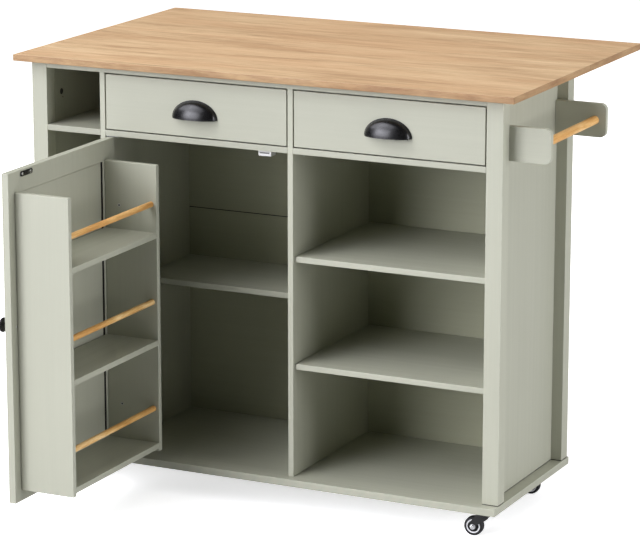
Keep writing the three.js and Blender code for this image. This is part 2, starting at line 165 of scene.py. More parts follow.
def paint(axis, name=None, light_gain=1.0, blue=1.0):
    """Satin sage paint over fine-grained board; axis is the way the board's grain runs."""
    g = Mat(name or f"sage_paint_grain_{axis}")
    p = g.coords()
    long, fine, mid = 5.0, 420.0, 95.0
    k = "xyz".index(axis)

    def vec(a, b):
        v = [b, b, b]
        v[k] = a
        return tuple(v)

    fibre = g.noise(p, vec(long, fine), 3.0, 0.62)
    streak = g.noise(p, vec(1.6, mid), 4.0, 0.6, 0.15)
    cloud = g.noise(p, (2.3, 2.3, 2.3), 2.0, 0.5)
    peel = g.noise(p, (1150, 1150, 1150), 2.0, 0.5)
    grain = g.math("ADD", g.math("MULTIPLY", fibre, 0.45), g.math("MULTIPLY", streak, 0.55))
    # the gain and the blue factor here make lit and shaded copies of the paint: painted light above 1, painted shade
    # below 1
    shift = (light_gain, light_gain, light_gain * blue)
    body = g.ramp(
        grain,
        [
            (0.24, tuple(c * k for c, k in zip(PAINT_LOW, shift))),
            (0.50, tuple(c * k for c, k in zip(PAINT_MID, shift))),
            (0.78, tuple(c * k for c, k in zip(PAINT_HIGH, shift))),
        ],
    )
    shade = g.maprange(cloud, 0.25, 0.75, 0.96, 1.02)
    tone = g.maprange(g.random, 0.0, 1.0, 0.965, 0.995)
    both = g.math("MULTIPLY", shade, tone)
    col = g.mix(1.0, body, g.ramp(both, [(0.0, (0, 0, 0)), (1.0, (1, 1, 1))]), "MULTIPLY")
    # edges are drawn a little paler in an uneven line: partly rubbed paint, partly a painted highlight on the edges
    edge_mark = g.math("MULTIPLY", g.attr("wear_and_highlight"), g.maprange(g.noise(p, (60, 60, 60), 4, 0.7), 0.4, 0.7, 0.25, 0.9))
    col = g.mix(g.math("MULTIPLY", edge_mark, 0.6), col, PAINT_EDGE)
    g.link(col, g.b.inputs["Base Color"])
    rough = g.maprange(g.math("ADD", streak, g.math("MULTIPLY", cloud, 0.5)), 0.4, 1.1, 0.50, 0.38)
    g.link(rough, g.b.inputs["Roughness"])
    g.b.inputs["Specular IOR Level"].default_value = 0.42
    h = g.math("ADD", g.math("MULTIPLY", peel, 0.45), g.math("MULTIPLY", fibre, 0.8))
    g.bump(h, 0.16, 0.00025)
    return g.m


PAINT_LOW = lin(166, 167, 149)
PAINT_MID = lin(169, 170, 152)
PAINT_HIGH = lin(172, 173, 155)
PAINT_EDGE = lin(184, 185, 170)


def oak(name, dark, mid, light, axis="x", scale=1.0, contrast=1.0):
    """Oak-look surface: long soft bands, streaks, fine fibres and short pores, along one axis."""
    g = Mat(name)
    p = g.coords(7.0)
    if axis == "x":
        # on the two end faces the edge strip's grain runs front to back
        sep = g.t.nodes.new("ShaderNodeSeparateXYZ")
        g.link(g.normal, sep.inputs[0])
        ends = g.math("GREATER_THAN", g.math("ABSOLUTE", sep.outputs[0]), 0.6)
        q = g.t.nodes.new("ShaderNodeSeparateXYZ")
        g.link(p, q.inputs[0])
        swap = g.t.nodes.new("ShaderNodeCombineXYZ")
        g.link(q.outputs[1], swap.inputs[0])
        g.link(q.outputs[0], swap.inputs[1])
        g.link(q.outputs[2], swap.inputs[2])
        n = g.t.nodes.new("ShaderNodeMix")
        n.data_type = "VECTOR"
        g.link(ends, n.inputs[0])
        g.link(p, n.inputs[4])
        g.link(swap.outputs[0], n.inputs[5])
        p = n.outputs[1]
    k = "xyz".index(axis)

    def vec(a, b):
        v = [b * scale] * 3
        v[k] = a * scale
        return tuple(v)

    # slow wander of the grain
    wander = g.noise(p, vec(1.7, 5.0), 2.0, 0.5)
    off = g.vmath("SCALE", (0.0, 1.0, 1.0) if k == 0 else (1.0, 0.0, 1.0), g.math("MULTIPLY", g.math("SUBTRACT", wander, 0.5), 0.05 / scale))
    p = g.vmath("ADD", p, off)
    bands = g.noise(p, vec(2.0, 15.0), 3.0, 0.55, 0.3)
    patch = g.noise(p, vec(5.0, 34.0), 3.0, 0.6)
    streak = g.noise(p, vec(7.5, 120.0), 4.0, 0.62, 0.12)
    fibre = g.noise(p, vec(22.0, 420.0), 3.0, 0.6)
    pores = g.noise(p, vec(60.0, 1300.0), 2.0, 0.55)
    a = g.math("MULTIPLY", bands, 0.29)
    a = g.math("ADD", a, g.math("MULTIPLY", patch, 0.28))
    a = g.math("ADD", a, g.math("MULTIPLY", streak, 0.29))
    a = g.math("ADD", a, g.math("MULTIPLY", fibre, 0.14))
    w = 0.115 / contrast
    between = tuple((x + y) / 2 for x, y in zip(dark, mid))
    col = g.ramp(a, [(0.5 - w, dark), (0.5 - w * 0.42, between), (0.5, mid), (0.5 + w * 0.9, light)])
    # redder and greyer drifts, each a hand or two wide
    drift = g.noise(p, vec(2.2, 13.0), 2.0, 0.5)
    col = g.mix(g.maprange(drift, 0.40, 0.62, 0.0, 0.44), col, tuple(c * m for c, m in zip(mid, (0.93, 0.81, 0.76))))
    grey = g.noise(p, vec(2.2, 28.0), 2.0, 0.5)
    col = g.mix(g.maprange(grey, 0.52, 0.68, 0.0, 0.30), col, tuple(c * m for c, m in zip(dark, (0.94, 0.94, 0.95))))
    fleck = g.maprange(pores, 0.58, 0.72, 0.0, 0.42)
    col = g.mix(fleck, col, tuple(c * 0.62 for c in dark))
    # here and there a short dark figure
    knot = g.maprange(g.noise(p, vec(5.0, 60.0), 2.0, 0.5), 0.665, 0.74, 0.0, 0.5)
    col = g.mix(knot, col, tuple(c * 0.66 for c in dark))
    edge_mark = g.math("MULTIPLY", g.attr("wear_and_highlight"), 0.45)
    col = g.mix(edge_mark, col, tuple(c * 0.82 for c in dark))
    if axis == "x":
        # the faces that face neither up nor down are drawn darker, with a mottle
        up = g.math("ABSOLUTE", sep.outputs[2])
        mottle = g.noise(p, vec(16.0, 70.0), 3.0, 0.6)
        band = g.mix(g.maprange(mottle, 0.38, 0.62, 0.0, 1.0), (0.585, 0.52, 0.46), (0.74, 0.70, 0.62))
        col = g.mix(g.maprange(up, 0.35, 0.65, 1.0, 0.0), col, band, "MULTIPLY")
    g.link(col, g.b.inputs["Base Color"])
    g.link(g.maprange(g.math("ADD", streak, fibre), 0.7, 1.3, 0.60, 0.48), g.b.inputs["Roughness"])
    g.b.inputs["Specular IOR Level"].default_value = 0.26
    h = g.math("SUBTRACT", g.math("MULTIPLY", fibre, 0.6), g.math("MULTIPLY", fleck, 0.9))
    g.bump(h, 0.30, 0.00018)
    return g.m


def metal(name, colour, rough, metallic, spread=0.06, bump=0.10, grit=900.0, spec=0.5, brushed=None):
    g = Mat(name)
    p = g.coords()
    s = (grit, grit, grit)
    if brushed is not None:
        s = [grit, grit, grit]
        s[brushed] = grit * 0.03
        s = tuple(s)
    a = g.noise(p, s, 3.0, 0.6)
    b = g.noise(p, (55, 55, 55), 3.0, 0.6)
    col = g.mix(g.maprange(b, 0.35, 0.7, 0.0, 0.5), colour, tuple(min(1.0, c * 1.22 + 0.002) for c in colour))
    edge_mark = g.math("MULTIPLY", g.attr("wear_and_highlight"), g.maprange(b, 0.35, 0.65, 0.15, 0.7))
    col = g.mix(g.math("MULTIPLY", edge_mark, 0.5), col, tuple(min(1.0, c * 1.9 + 0.02) for c in colour))
    g.link(col, g.b.inputs["Base Color"])
    g.b.inputs["Metallic"].default_value = metallic
    g.b.inputs["Specular IOR Level"].default_value = spec
    g.link(g.maprange(g.math("ADD", a, b), 0.7, 1.3, rough - spread, rough + spread), g.b.inputs["Roughness"])
    g.bump(a, bump, 0.00015)
    return g.m


def flecked(name, colour, rough, bump=0.2, grit=500.0):
    """Rubber and moulded plastic: fine texture, with soft paler patches."""
    g = Mat(name)
    p = g.coords()
    a = g.noise(p, (grit, grit, grit), 3.0, 0.6)
    b = g.noise(p, (35, 35, 35), 4.0, 0.65)
    col = g.mix(g.maprange(b, 0.4, 0.75, 0.0, 0.55), colour, tuple(min(1.0, c * 1.12 + 0.006) for c in colour))
    edge_mark = g.math("MULTIPLY", g.attr("wear_and_highlight"), 0.35)
    col = g.mix(edge_mark, col, tuple(min(1.0, c * 1.3 + 0.012) for c in colour))
    g.link(col, g.b.inputs["Base Color"])
    g.link(g.maprange(a, 0.3, 0.7, rough - 0.07, rough + 0.07), g.b.inputs["Roughness"])
    g.bump(a, bump, 0.0002)
    return g.m


PX, PY, PZ = paint("x"), paint("y"), paint("z")
# lit and shaded copies of the paint: painted shade on the middle deck, the cubby shelf and the left side panel, a
# darker and greener painted shade on the back panels, painted light on the front right post and the middle divider
PX_SHADED_DECK, PX_SHADED_CUBBY, PZ_SHADED_SIDE = paint("x", "sage_paint_shaded_deck_x", 0.92), paint("x", "sage_paint_shaded_cubby_x", 0.86), paint("z", "sage_paint_shaded_side_z", 0.88)
PZ_LIT = paint("z", "sage_paint_lit_z", 1.07)
PX_BACK_SHADED = paint("x", "sage_paint_back_shaded_x", 0.90, 0.88)
OAK = oak("oak_worktop", lin(171, 138, 103), lin(199, 169, 131), lin(212, 184, 145), contrast=1.1)
DOWEL = oak("pale_dowel", lin(180, 129, 66), lin(212, 167, 100), lin(235, 203, 146), axis="y", scale=1.6, contrast=1.3)
BLACK = metal("black_satin_metal", (0.004, 0.004, 0.004), 0.27, 0.0, spread=0.04, bump=0.05, grit=1400, spec=0.43)
FORK = metal("black_caster_steel", (0.009, 0.0088, 0.0085), 0.40, 0.0, bump=0.12, grit=900, spec=0.5)
ZINC = metal("zinc_steel", (0.52, 0.53, 0.54), 0.34, 1.0, grit=1600, brushed=1)
DULL = metal("dull_zinc", (0.16, 0.16, 0.165), 0.5, 1.0, grit=1600)
NUT = metal("bright_nut", (0.72, 0.72, 0.73), 0.26, 1.0, grit=1600)
# plain black, put only where there is shade: holes, gaps, slots and screw recesses; painted shade
PAINTED_SHADE = metal("painted_shade_black", (0.006, 0.006, 0.006), 0.6, 0.0)
RUBBER = flecked("black_tyre", (0.006, 0.006, 0.0062), 0.60, 0.28, 800)
WEB = flecked("black_hub_plastic", (0.008, 0.008, 0.0082), 0.48, 0.12, 900)
HUB = flecked("hub_plastic", lin(232, 232, 232), 0.36, 0.10, 900)
WHITE = flecked("white_plastic", lin(232, 232, 228), 0.40, 0.12, 900)
CATCH = flecked("catch_plate_steel", lin(165, 165, 162), 0.5, 0.10, 900)
CAP = flecked("sage_cap", lin(176, 180, 165), 0.5, 0.12, 900)


# ------------------------------------------------------------------ mesh helpers
def start():
    bm = bmesh.new()
    bm.faces.layers.float.new("wear_and_highlight")
    return bm


def wear_and_highlight(bm):
    return bm.faces.layers.float["wear_and_highlight"]


def box(bm, x0, x1, y0, y1, z0, z1, r=0.6, seg=2, mat=0):
    m = Matrix.Translation(((x0 + x1) / 2, (y0 + y1) / 2, (z0 + z1) / 2)) @ Matrix.Diagonal(
        (abs(x1 - x0), abs(y1 - y0), abs(z1 - z0), 1)
    )
    made = bmesh.ops.create_cube(bm, size=1.0, matrix=m)
    faces = {f for v in made["verts"] for f in v.link_faces}
    for f in faces:
        f.material_index = mat
    if r:
        edges = list({e for f in faces for e in f.edges})
        out = bmesh.ops.bevel(bm, geom=edges, offset=r, segments=seg, profile=0.5, affect="EDGES", clamp_overlap=True)
        for f in out["faces"]:
            f[wear_and_highlight(bm)] = 1.0
            f.material_index = mat


def prism(bm, outline, matrix, thick, r=0.5, seg=2, mat=0):
    """An outline in (u, v), counter-clockwise, from w = 0 to w = thick, placed by matrix."""
    low = [bm.verts.new(matrix @ Vector((u, v, 0))) for u, v in outline]
    high = [bm.verts.new(matrix @ Vector((u, v, thick))) for u, v in outline]
    n = len(outline)
    caps = [bm.faces.new(list(reversed(low))), bm.faces.new(high)]
    sides = [bm.faces.new((low[i], low[(i + 1) % n], high[(i + 1) % n], high[i])) for i in range(n)]
    for f in caps + sides:
        f.material_index = mat
    if r:
        edges = list({e for f in caps for e in f.edges})
        out = bmesh.ops.bevel(bm, geom=edges, offset=r, segments=seg, profile=0.5, affect="EDGES", clamp_overlap=True)
        for f in out["faces"]:
            f[wear_and_highlight(bm)] = 1.0
            f.material_index = mat


def lathe(bm, profile, matrix, segs=48, mat=0, closed=False, edge_mark=()):
    """(radius, height) points turned about w. Open profiles start and end on the axis."""
    rings = []
    for rad, h in profile:
        if rad <= 1e-6:
            rings.append([bm.verts.new(matrix @ Vector((0, 0, h)))])
        else:
            rings.append(
                [
                    bm.verts.new(matrix @ Vector((rad * math.cos(a), rad * math.sin(a), h)))
                    for a in (2 * math.pi * i / segs for i in range(segs))
                ]
            )
    pairs = list(zip(range(len(rings) - 1), range(1, len(rings))))
    if closed:
        pairs.append((len(rings) - 1, 0))
    for k, (i, j) in enumerate(pairs):
        a, b = rings[i], rings[j]
        for s in range(segs):
            t = (s + 1) % segs
            if len(a) == 1 and len(b) == 1:
                continue
            if len(a) == 1:
                f = bm.faces.new((a[0], b[s], b[t]))
            elif len(b) == 1:
                f = bm.faces.new((a[s], b[0], a[t]))
            else:
                f = bm.faces.new((a[s], b[s], b[t], a[t]))
            f.material_index = mat
            if k in edge_mark:
                f[wear_and_highlight(bm)] = 1.0


def along(direction, at):
    """A matrix whose w axis runs along direction, from the point at."""
    q = Vector(direction).to_track_quat("Z", "Y")
    return Matrix.Translation(at) @ q.to_matrix().to_4x4()


def rod(bm, direction, at, length, rad, segs=32, c=0.4, mat=0):
    lathe(
        bm,
        [(0, 0), (rad - c, 0), (rad, c), (rad, length - c), (rad - c, length), (0, length)],
        along(direction, at),
        segs,
        mat,
        edge_mark=(1, 3),
    )


def screw(bm, at, direction, rad=3.4, high=1.1, mat=0, dark=1, turn=0.4):
    """A pan head with a cross recess, standing on the point at."""
    m = along(direction, at) @ Matrix.Rotation(turn, 4, "Z")
    lathe(
        bm,
        [(0, -0.6), (rad * 0.9, -0.6), (rad, 0.15), (rad * 0.94, high * 0.55), (rad * 0.7, high * 0.9), (rad * 0.42, high), (0, high)],
        m,
        24,
        mat,
        edge_mark=(3,),
    )
    # the cross recess is drawn in the black material: painted shade
    a, b = rad * 0.14, rad * 0.52
    cross = [(a, -b), (a, -a), (b, -a), (b, a), (a, a), (a, b), (-a, b), (-a, a), (-b, a), (-b, -a), (-a, -a), (-a, -b)]
    prism(bm, cross, m @ Matrix.Translation((0, 0, high - 0.5)), 0.56, r=0, mat=dark)


def sunk(bm, at, direction, rad=3.0, mat=0, dark=1):
    """A countersunk screw seen in its hole: a black ring round a bright disc, a hair proud; the ring and the cross
    recess are painted shade.
    """
    m = along(direction, at)
    lathe(bm, [(0, -0.5), (rad, -0.5), (rad, 0.12), (rad * 0.84, 0.16), (0, 0.16)], m, 24, dark)
    lathe(bm, [(0, 0.0), (rad * 0.78, 0.0), (rad * 0.74, 0.24), (0, 0.2)], m, 24, mat)
    a, b = rad * 0.12, rad * 0.46
    cross = [(a, -b), (a, -a), (b, -a), (b, a), (a, a), (a, b), (-a, b), (-a, a), (-b, a), (-b, -a), (-a, -a), (-a, -b)]
    prism(bm, cross, m @ Matrix.Translation((0, 0, 0.05)), 0.24, r=0, mat=dark)


def arc(cx, cy, rad, a0, a1, n):
    return [
        (cx + rad * math.cos(a0 + (a1 - a0) * i / n), cy + rad * math.sin(a0 + (a1 - a0) * i / n))
        for i in range(n + 1)
    ]


def rounded(x0, x1, y0, y1, r, n=5):
    return (
        arc(x1 - r, y0 + r, r, -math.pi / 2, 0, n)
        + arc(x1 - r, y1 - r, r, 0, math.pi / 2, n)
        + arc(x0 + r, y1 - r, r, math.pi / 2, math.pi, n)
        + arc(x0 + r, y0 + r, r, math.pi, 1.5 * math.pi, n)
    )


def done(name, bm, mats, body, replaces=(), angle=38.0, weighted=True):
    bm.transform(M0)
    bmesh.ops.recalc_face_normals(bm, faces=bm.faces[:])
    for f in bm.faces:
        f.smooth = True
    limit = math.radians(angle)
    for e in bm.edges:
        if len(e.link_faces) == 2 and e.calc_face_angle(0.0) > limit:
            e.smooth = False
    me = bpy.data.meshes.new(name)
    bm.to_mesh(me)
    bm.free()
    for m in mats if isinstance(mats, (list, tuple)) else [mats]:
        me.materials.append(m)
    o = bpy.data.objects.new(name, me)
    SCENE.collection.objects.link(o)
    if weighted:
        w = o.modifiers.new("normals", "WEIGHTED_NORMAL")
        w.keep_sharp = True
        w.mode = "FACE_AREA"
    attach(o, body)
    if replaces:
        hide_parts(*replaces)
    return o


def mm(node):
    """A CAD node's box in cabinet millimetres."""
    inv = M0.inverted()
    a, b = (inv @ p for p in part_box(node))
    return a, b


def board(node, mat, body="cabinet", r=0.6, seg=2):
    a, b = mm(node)
    bm = start()
    box(bm, a.x, b.x, a.y, b.y, a.z, b.z, r, seg)
    return done(node + "_board", bm, mat, body, (node,))


def footed(node, mat, r=0.6):
    """A board that stands on the bottom board with a fine shadow gap under it, the gap drawn with a black core: painted
    shade.
    """
    a, b = mm(node)
    bm = start()
    box(bm, a.x, b.x, a.y, b.y, a.z + 1.5, b.z, r)
    box(bm, a.x + 0.9, b.x - 0.9, a.y + 0.9, b.y - 0.9, a.z, a.z + 2.4, r=0.1, seg=1, mat=1)
    return done(node + "_board", bm, [mat, PAINTED_SHADE], "cabinet", (node,))


# ------------------------------------------------------------------ carcass
board("bottom_board", PX, r=0.8)
for n in ("post_front_left", "post_back_left", "post_back_right"):
    footed(n, PZ, r=0.8)
# the lit copy of the paint: painted light
footed("post_front_right", PZ_LIT, r=0.8)
# a shaded copy of the paint: painted shade
footed("side_panel_left", PZ_SHADED_SIDE)
footed("side_panel_right", PZ)
board("top_front_rail", PX)
# a darker, greener copy of the paint: painted shade inside the bays
board("back_panel_upper", PX_BACK_SHADED, r=0.35)
# the lower panel meets it in a shadow line, drawn as a black strip: painted shade
a, b = mm("back_panel_lower")
bm = start()
box(bm, a.x, b.x, a.y, b.y, a.z, b.z - 1.7, r=0.3)
box(bm, a.x, b.x, a.y + 0.5, b.y - 0.5, b.z - 2.2, b.z, r=0.1, seg=1, mat=1)
done("back_panel_lower_board", bm, [PX_BACK_SHADED, PAINTED_SHADE], "cabinet", ("back_panel_lower",))
board("deck_right", PX, r=0.7)
for n in ("middle_shelf", "right_shelf_upper", "right_shelf_lower"):
    # loose shelves: a hair of shadow shows at both ends and along the back, drawn with a black core: painted shade
    a, b = mm(n)
    bm = start()
    box(bm, a.x + 0.8, b.x - 0.8, a.y, b.y - 0.8, a.z, b.z, r=0.6)
    box(bm, a.x, b.x, a.y + 1.5, b.y, a.z + 1.0, b.z - 1.0, r=0.1, seg=1, mat=1)
    done(n + "_board", bm, [PX, PAINTED_SHADE], "cabinet", (n,))
# shaded copies of the paint: painted shade
board("cubby_shelf", PX_SHADED_CUBBY, r=0.7)
board("deck_middle", PX_SHADED_DECK, r=0.7)

YZ = Matrix(((0, 0, 1, 0), (1, 0, 0, 0), (0, 1, 0, 0), (0, 0, 0, 1)))  # (u, v, w) to (y, z, x)
XZ = Matrix(((1, 0, 0, 0), (0, 0, -1, 0), (0, 1, 0, 0), (0, 0, 0, 1)))  # (u, v, w) to (x, z, -y)

for node in ("divider_left", "divider_middle"):
    a, b = mm(node)
    bm = start()
    pts = [(a.y, a.z), (b.y, a.z), (b.y, b.z), (91.7, b.z), (91.7, 834.8), (a.y, 834.8)]
    prism(bm, pts, Matrix.Translation((a.x, 0, 0)) @ YZ, b.x - a.x, r=0.6)
    # the middle divider gets the lit copy of the paint: painted light
    done(node + "_board", bm, PZ_LIT if node == "divider_middle" else PZ, "cabinet", (node,))

board("worktop_main", OAK, r=1.1, seg=3)
board("worktop_leaf", OAK, "leaf", r=1.1, seg=3)

# small fastenings on the carcass: back panel screws, the cubby's open dowel holes, cam caps
bm = start()
for z in (120, 300, 440):
    for x in (-1045, -700, -478, -254, -53):
        sunk(bm, (x, 398.6, z), (0, 1, 0), 3.1)
for z in (500, 660, 820):
    for x in (-1045, -700, -478, -254, -53):
        sunk(bm, (x, 398.6, z), (0, 1, 0), 3.1)
done("back_panel_screws", bm, [ZINC, PAINTED_SHADE], "cabinet", weighted=False)

# the open dowel holes are drawn as black discs: painted shade in the holes
bm = start()
for y, z, r in ((82.8, 773.5, 6.6), (88.0, 760.5, 1.5)):
    m = along((1, 0, 0), (-1060.5, y, z))
    lathe(bm, [(0, -0.3), (r, -0.3), (r, 0.12), (r * 0.86, 0.16), (r * 0.8, 0.06), (0, 0.06)], m, 24)
done("cubby_dowel_holes", bm, [PAINTED_SHADE], "cabinet", weighted=False)

bm = start()
for x, s in ((-471.5, 1), (-37.5, -1), (-483.5, -1), (-917.5, 1)):
    for y in (75, 340):
        m = along((s, 0, 0), (x, y, 690))
        lathe(bm, [(0, -0.5), (7.4, -0.5), (7.4, 0.35), (6.9, 0.8), (2.0, 0.8), (1.6, 0.55), (0, 0.55)], m, 32, edge_mark=(3,))
done("cam_caps", bm, [CAP], "cabinet", weighted=False)

# ------------------------------------------------------------------ leaf hinge
SEAM, HZ = 415.35, 842.3
H0, H1, COUNT = -788.0, -310.0, 9
PITCH = (H1 - H0) / COUNT
for part, body in (("fixed", "cabinet"), ("moving", "leaf")):
    bm = start()
    odd = part == "moving"
    for i in range(COUNT):
        if (i % 2 == 1) != odd:
            continue
        a = H0 + i * PITCH + (0.25 if i else 0)
        b = H0 + (i + 1) * PITCH - (0.25 if i < COUNT - 1 else 0)
        # the curl of the knuckle, open round its pin
        lathe(
            bm,
            [(2.3, 0), (3.7, 0), (4.0, 0.3), (4.0, b - a - 0.3), (3.7, b - a), (2.3, b - a)],
            along((1, 0, 0), (a, SEAM, HZ)),
            28,
            closed=True,
        )
        s = 1 if odd else -1
        y0, y1 = sorted((SEAM + s * 2.6, SEAM + s * 4.7))
        box(bm, a, b, y0, y1, HZ + 2.4, HZ + 5.55, r=0.25, seg=1)
    if odd:
        box(bm, H0, H1, SEAM + 4.3, SEAM + 28, HZ + 4.4, HZ + 5.6, r=0.3)
        rod(bm, (1, 0, 0), (H0 - 0.5, SEAM, HZ), H1 - H0 + 1.0, 1.9, 20)
        for i in range(9):
            screw(bm, (H0 + 26 + i * 53.2, SEAM + 17, HZ + 4.4), (0, 0, -1), 3.4, 1.0)
    else:
        box(bm, H0, H1, SEAM - 14, SEAM - 4.3, HZ + 4.4, HZ + 5.6, r=0.3)
    done(f"leaf_hinge_{part}_leaf", bm, [ZINC, PAINTED_SHADE], body, (f"leaf_hinge_{part}",), weighted=False)


# ------------------------------------------------------------------ drawers
def pull(name, cx, cy, cz, body, node):
    """Cup pull: a thin quarter-ellipsoid shell with a rolled lip and a flat foot round the arch."""
    w, h, d, t = 52.0, 38.0, 23.8, 1.9
    nu, nv = 56, 18
    bm = start()

    def skin(w, d, h):
        rows = []
        for j in range(nv + 1):
            a = math.pi / 2 * j / nv
            row = []
            for i in range(nu + 1):
                s = math.pi * i / nu
                # slightly squarer than an ellipse, as pressed cups are
                c, q = math.cos(s), math.sin(s)
                row.append(bm.verts.new((cx + w * c, cy - d * (q**0.94) * math.cos(a), cz + h * (q**0.97) * math.sin(a))))
            rows.append(row)
        return rows

    outer, inner = skin(w, d, h), skin(w - t, d - t, h - t)
    for rows in (outer, inner):
        for j in range(nv):
            for i in range(nu):
                bm.faces.new((rows[j][i], rows[j][i + 1], rows[j + 1][i + 1], rows[j + 1][i]))
    for j in (0, nv):
        for i in range(nu):
            bm.faces.new((outer[j][i], outer[j][i + 1], inner[j][i + 1], inner[j][i]))
    for i in (0, nu):
        for j in range(nv):
            bm.faces.new((outer[j][i], outer[j + 1][i], inner[j + 1][i], inner[j][i]))
    bmesh.ops.remove_doubles(bm, verts=bm.verts[:], dist=1e-4)
    # lip along the lower rim
    k, q = 44, 10
    rings = []
    for i in range(k + 1):
        s = math.pi * (0.012 + 0.976 * i / k)
        p = Vector((cx + (w - 1.1) * math.cos(s), cy - (d - 1.1) * math.sin(s) ** 0.94, cz + 0.9))
        tan = Vector((-(w - 1.1) * math.sin(s), -(d - 1.1) * math.cos(s), 0)).normalized()
        side = tan.cross(Vector((0, 0, 1)))
        rings.append(
            [
                bm.verts.new(p + side * (1.25 * math.cos(2 * math.pi * j / q)) + Vector((0, 0, 1.0 * math.sin(2 * math.pi * j / q))))
                for j in range(q)
            ]
        )
    for i in range(k):
        for j in range(q):
            f = bm.faces.new((rings[i][j], rings[i + 1][j], rings[i + 1][(j + 1) % q], rings[i][(j + 1) % q]))
            f[wear_and_highlight(bm)] = 0.6
    bm.faces.new(rings[0])
    bm.faces.new(list(reversed(rings[-1])))
    # foot: an arch 4 mm wide and 1.5 mm thick
    n = 48
    out = [(cx + (w + 1.5) * math.cos(math.pi * i / n), cz + (h + 1.5) * math.sin(math.pi * i / n)) for i in range(n + 1)]
    inn = [(cx + (w - 4.2) * math.cos(math.pi * i / n), cz + (h - 4.2) * math.sin(math.pi * i / n)) for i in range(n, -1, -1)]
    prism(bm, out + inn, Matrix.Translation((0, cy, 0)) @ XZ, 1.5, r=0.45)
    # the two posts that the screws from behind run into
    for s in (-1, 1):
        lathe(bm, [(0, 0), (4.2, 0), (4.2, 9.0), (3.6, 9.8), (0, 9.8)], along((0, -1, 0), (cx + s * 32, cy, cz + 11.5)), 24)
    o = done(name, bm, [BLACK], body, (node,), angle=50, weighted=False)
    return o


DIVL, DIVM = -929.5, -483.5
for side, x0, x1 in (("left", DIVL + 12, DIVM), ("right", DIVM + 12, -37.5)):
    body = f"drawer_{side}"
    lo, hi = mm(f"drawer_{side}_front")
    bm = start()
    box(bm, lo.x + 0.5, hi.x - 0.5, lo.y, hi.y, lo.z + 0.5, hi.z - 0.5, r=0.8, seg=3)
    done(f"drawer_{side}_front_board", bm, PX, body, (f"drawer_{side}_front",))
    a, b = x0 + 13, x1 - 13
    y0, y1, z0, z1 = 36.7, 360.0, 722.0, 812.0
    bm = start()
    box(bm, a, a + 12, y0, y1, z0, z1, r=1.2, seg=3)
    box(bm, b - 12, b, y0, y1, z0, z1, r=1.2, seg=3)
    box(bm, a + 12.05, b - 12.05, y1 - 12, y1, z0 + 1, z1 - 8, r=1.0, seg=3)
    box(bm, a + 11, b - 11, y0, y1 - 11, z0 + 4, z0 + 9, r=0.3)
    done(f"drawer_{side}_box", bm, PY, body, (f"drawer_{side}_tray",))
    cx = (x0 + x1) / 2
    pull(f"drawer_{side}_cup_pull", cx, 21.3, 753.5, body, f"drawer_{side}_pull")
    # screws inside the drawer front, behind the pull
    bm = start()
    for s in (-1, 1):
        screw(bm, (cx + s * 32, 36.5, 765), (0, 1, 0), 4.2, 1.6)
    for s in (a + 6, b - 6):
        for z in (740, 795):
            sunk(bm, (s, y1, z), (0, 1, 0), 2.8)
    done(f"drawer_{side}_screws", bm, [ZINC, PAINTED_SHADE], body, weighted=False)

    for tag, x, s in (("a", x0 + 0.2, 1), ("b", x1 - 0.2, -1)):
        # outer channel on the wall
        bm = start()
        c = [(0, 750.3), (1.0, 750.0), (9.8, 750.0), (11.4, 751.2), (11.4, 755.5), (10.4, 755.5), (10.4, 752.0), (9.4, 751.1),
             (1.1, 751.1), (1.1, 783.9), (9.4, 783.9), (10.4, 783.0), (10.4, 779.5), (11.4, 779.5), (11.4, 783.8), (9.8, 785.0), (1.0, 785.0), (0, 784.7)]
        pts = [(x + s * u, v) for u, v in c]
        if s < 0:
            pts.reverse()
        prism(bm, pts, Matrix.Translation((0, 385, 0)) @ XZ, 340, r=0)
        for y in (70, 200, 350):
            screw(bm, (x + s * 1.1, y, 767.5), (s, 0, 0), 3.2, 0.9)
        done(f"runner_{side}_{tag}_channel", bm, [ZINC, PAINTED_SHADE], "cabinet", (f"runner_{side}_{tag}",), weighted=False)
        # inner member on the drawer, inside the channel
        bm = start()
        xb = (a if s > 0 else b) - s * 0.05
        c = [(0, 756.6), (-1.0, 756.6), (-1.0, 778.4), (0, 778.4)]
        x_lo, x_hi = sorted((xb - s * 0.05, xb - s * 1.2))
        box(bm, x_lo, x_hi, y0 + 3, y1 - 2, 757.5, 777.5, r=0.25, seg=1)
        for z in (757.4, 774.4):
            x_lo, x_hi = sorted((xb - s * 1.1, xb - s * 6.8))
            box(bm, x_lo, x_hi, y0 + 6, y1 - 4, z, z + 3.2, r=0.6, seg=1)
        done(f"slide_{side}_{tag}_inner", bm, [ZINC, PAINTED_SHADE], body, weighted=False)

# ------------------------------------------------------------------ door
DX0, DX1 = -915.3, -899.8
DY0, DY1, DZ0, DZ1, FW = -402.1, 27.5, 2.2, 696.8, 45.0
HW = 50.2  # hinge stile, a little wider than the others
bm = start()
box(bm, DX0, DX1, DY0, DY0 + FW, DZ0, DZ1, r=0.8, seg=3)
box(bm, DX0, DX1, DY1 - HW, DY1, DZ0, DZ1, r=0.7, seg=2)
# an extra strip of the stile's face, drawn paler: a painted highlight along the stile's inner edge
box(bm, DX1 - 2.0, DX1 + 0.02, DY1 - HW + 0.3, DY1 - HW + 5.4, DZ0 + FW, DZ1 - FW, r=0.2, seg=1)
for f in bm.faces:
    if DY1 - HW - 0.1 < f.calc_center_median().y < DY1 - HW + 5.5:
        f[wear_and_highlight(bm)] = 1.0
box(bm, DX0, DX1, DY0 + FW, DY1 - HW, DZ0, DZ0 + FW, r=0.5, seg=2)
box(bm, DX0, DX1, DY0 + FW, DY1 - HW, DZ1 - FW, DZ1, r=0.5, seg=2)
door = done("door_frame_members", bm, PZ, "door", ("door_frame",))

bm = start()
